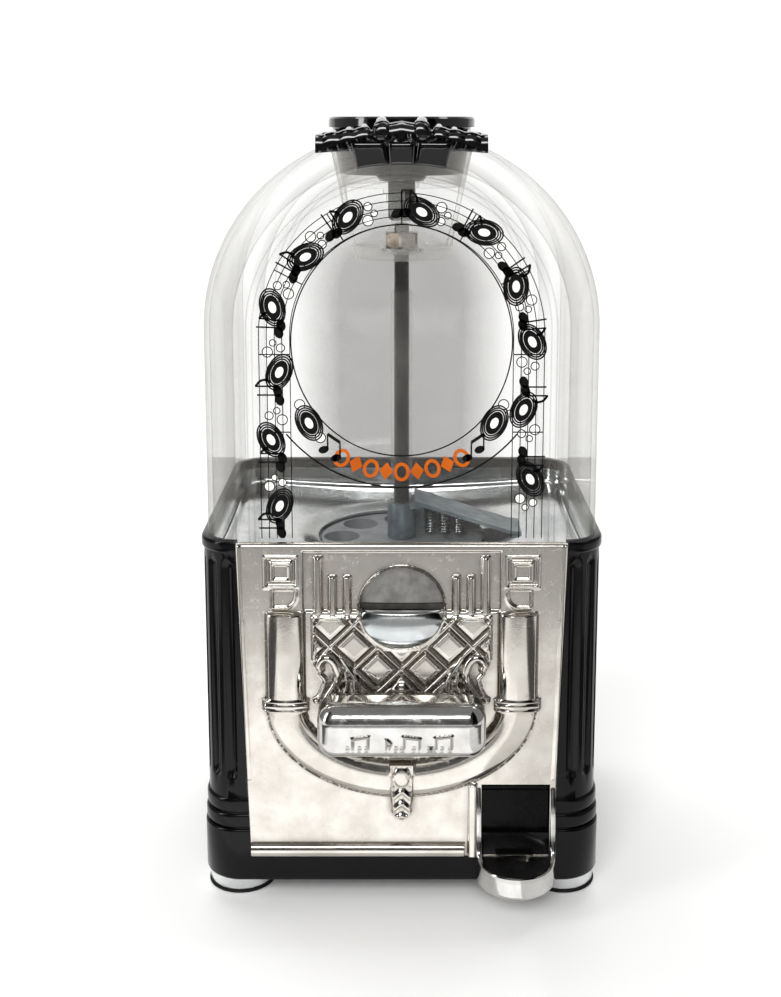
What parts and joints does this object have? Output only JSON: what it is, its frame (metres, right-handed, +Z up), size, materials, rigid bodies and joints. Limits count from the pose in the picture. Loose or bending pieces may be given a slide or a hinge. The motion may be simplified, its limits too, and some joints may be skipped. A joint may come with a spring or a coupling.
{
  "type": "gumball machine",
  "caption": "Jukebox-shaped tabletop gumball machine: clear arched dome, black fluted base, cast front plate with a push bar that turns a pocket wheel and drops a ball into the spout.",
  "frame": {"origin": "middle of the footprint box on the surface the machine stands on", "axes": "+Z up, front plate faces -Y, +X to the right seen from the front"},
  "size_m": [0.1558, 0.152, 0.305],
  "materials": {
    "black_gloss": "moulded, high gloss",
    "black_plastic": "moulded, satin",
    "steel": "drawn bar",
    "bright_metal": "polished",
    "rubber_black": "soft black",
    "cast_metal": "die cast, satin with polished high spots",
    "guard_grey": "satin grey",
    "grey_plastic": "moulded, satin",
    "brass": "stamped",
    "flap_black": "glossy",
    "clear_plastic": "clear moulded plastic",
    "aged_nut": "dulled plating"
  },
  "bodies": {
    "root": {"base_shell": "black_gloss", "bottom_plate": "black_plastic", "bottom_screws": "steel", "foot_discs": "bright_metal", "foot_pads": "rubber_black", "front_panel": "cast_metal", "panel_screws": "steel", "coin_backplate": "guard_grey", "coin_lip": "bright_metal", "coin_chute": "grey_plastic", "lever_bracket": "steel", "lever_pin": "steel", "pin_clips": "steel", "lever_spring": "steel", "pusher_rail": "steel", "rail_screws": "steel", "wheel_housing": "grey_plastic", "detent_spring": "steel", "hopper": "bright_metal", "wiper_guard": "guard_grey", "wiper_springs": "steel", "gumball_chute": "grey_plastic", "spout": "cast_metal", "flap_pin": "steel", "center_rod": "steel", "rod_sleeve": "steel", "rod_tube": "clear_plastic", "rod_top_nut": "aged_nut", "rod_washer": "steel", "rod_bottom_nut": "steel", "dome": "clear_plastic", "neck_basket": "clear_plastic"},
    "push_bar": {"push_lever": "cast_metal"},
    "pusher": {"pusher": "steel", "pawl": "brass"},
    "wheel": {"dispensing_wheel": "grey_plastic", "ratchet": "brass"},
    "flap": {"spout_flap": "flap_black"},
    "lid": {"lid": "black_gloss"},
    "coin_plug": {"coin_plug": "rubber_black"}
  },
  "joints": [
    {"name": "lever_push", "type": "hinge", "parent": "root", "child": "push_bar", "pos_m": [0, -0.028, 0.06], "axis": [1, 0, 0], "range_deg": [0, 16], "stiffness_Nm_per_rad": 0.2, "springref_deg": -20.05},
    {"name": "pusher_slide", "type": "slide", "parent": "root", "child": "pusher", "axis": [0, -1, 0], "range_m": [0, 0.0112]},
    {"name": "wheel_turn", "type": "hinge", "parent": "root", "child": "wheel", "pos_m": [0, 0.01, 0.12], "axis": [0, 0, 1], "range_deg": [0, 45]},
    {"name": "flap_swing", "type": "hinge", "parent": "root", "child": "flap", "pos_m": [0.0442, -0.0526, 0.048], "axis": [1, 0, 0], "range_deg": [-60, 0]},
    {"name": "lid_lift", "type": "slide", "parent": "root", "child": "lid", "axis": [0, 0, 1], "range_m": [0, 0.06]},
    {"name": "coin_plug_turn", "type": "hinge", "parent": "root", "child": "coin_plug", "pos_m": [-0.034, 0.042, 0.01], "axis": [0, 0, 1], "range_deg": [0, 90]}
  ],
  "couplings": [
    {"joint": "pusher_slide", "follows": "lever_push", "m_per_rad": 0.04},
    {"joint": "wheel_turn", "follows": "lever_push", "ratio": 2.8125}
  ]
}
